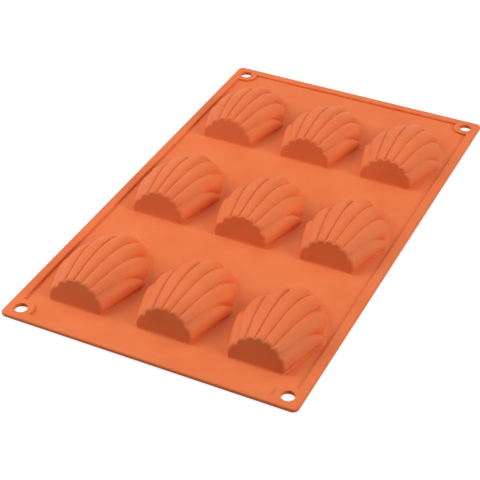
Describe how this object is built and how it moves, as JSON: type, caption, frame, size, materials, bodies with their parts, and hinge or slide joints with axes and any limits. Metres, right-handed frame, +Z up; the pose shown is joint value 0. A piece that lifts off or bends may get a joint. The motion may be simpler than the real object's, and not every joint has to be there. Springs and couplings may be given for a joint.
{
  "type": "madeleine mould",
  "caption": "Soft silicone baking mould lying upside down: ribbed shell-shaped cups on a thin recessed panel, with a raised rim and a round eyelet in each corner.",
  "frame": {"origin": "centre of the mould's outline, on the flat mouth face that it lies on", "axes": "+Y along the length, away from the cups' flat ends; +X across to the right; +Z up, from the mouth face to the cups' backs"},
  "size_m": [0.175, 0.3, 0.0179],
  "materials": {
    "silicone": "matte moulded food silicone, terracotta orange"
  },
  "bodies": {
    "root": {"panel": "silicone", "rim": "silicone", "eyelet_front_left": "silicone", "eyelet_front_right": "silicone", "eyelet_back_left": "silicone", "eyelet_back_right": "silicone", "cup_front_left": "silicone", "cup_front_middle": "silicone", "cup_front_right": "silicone", "cup_middle_left": "silicone", "cup_middle_middle": "silicone", "cup_middle_right": "silicone", "cup_back_left": "silicone", "cup_back_middle": "silicone", "cup_back_right": "silicone"}
  },
  "joints": []
}
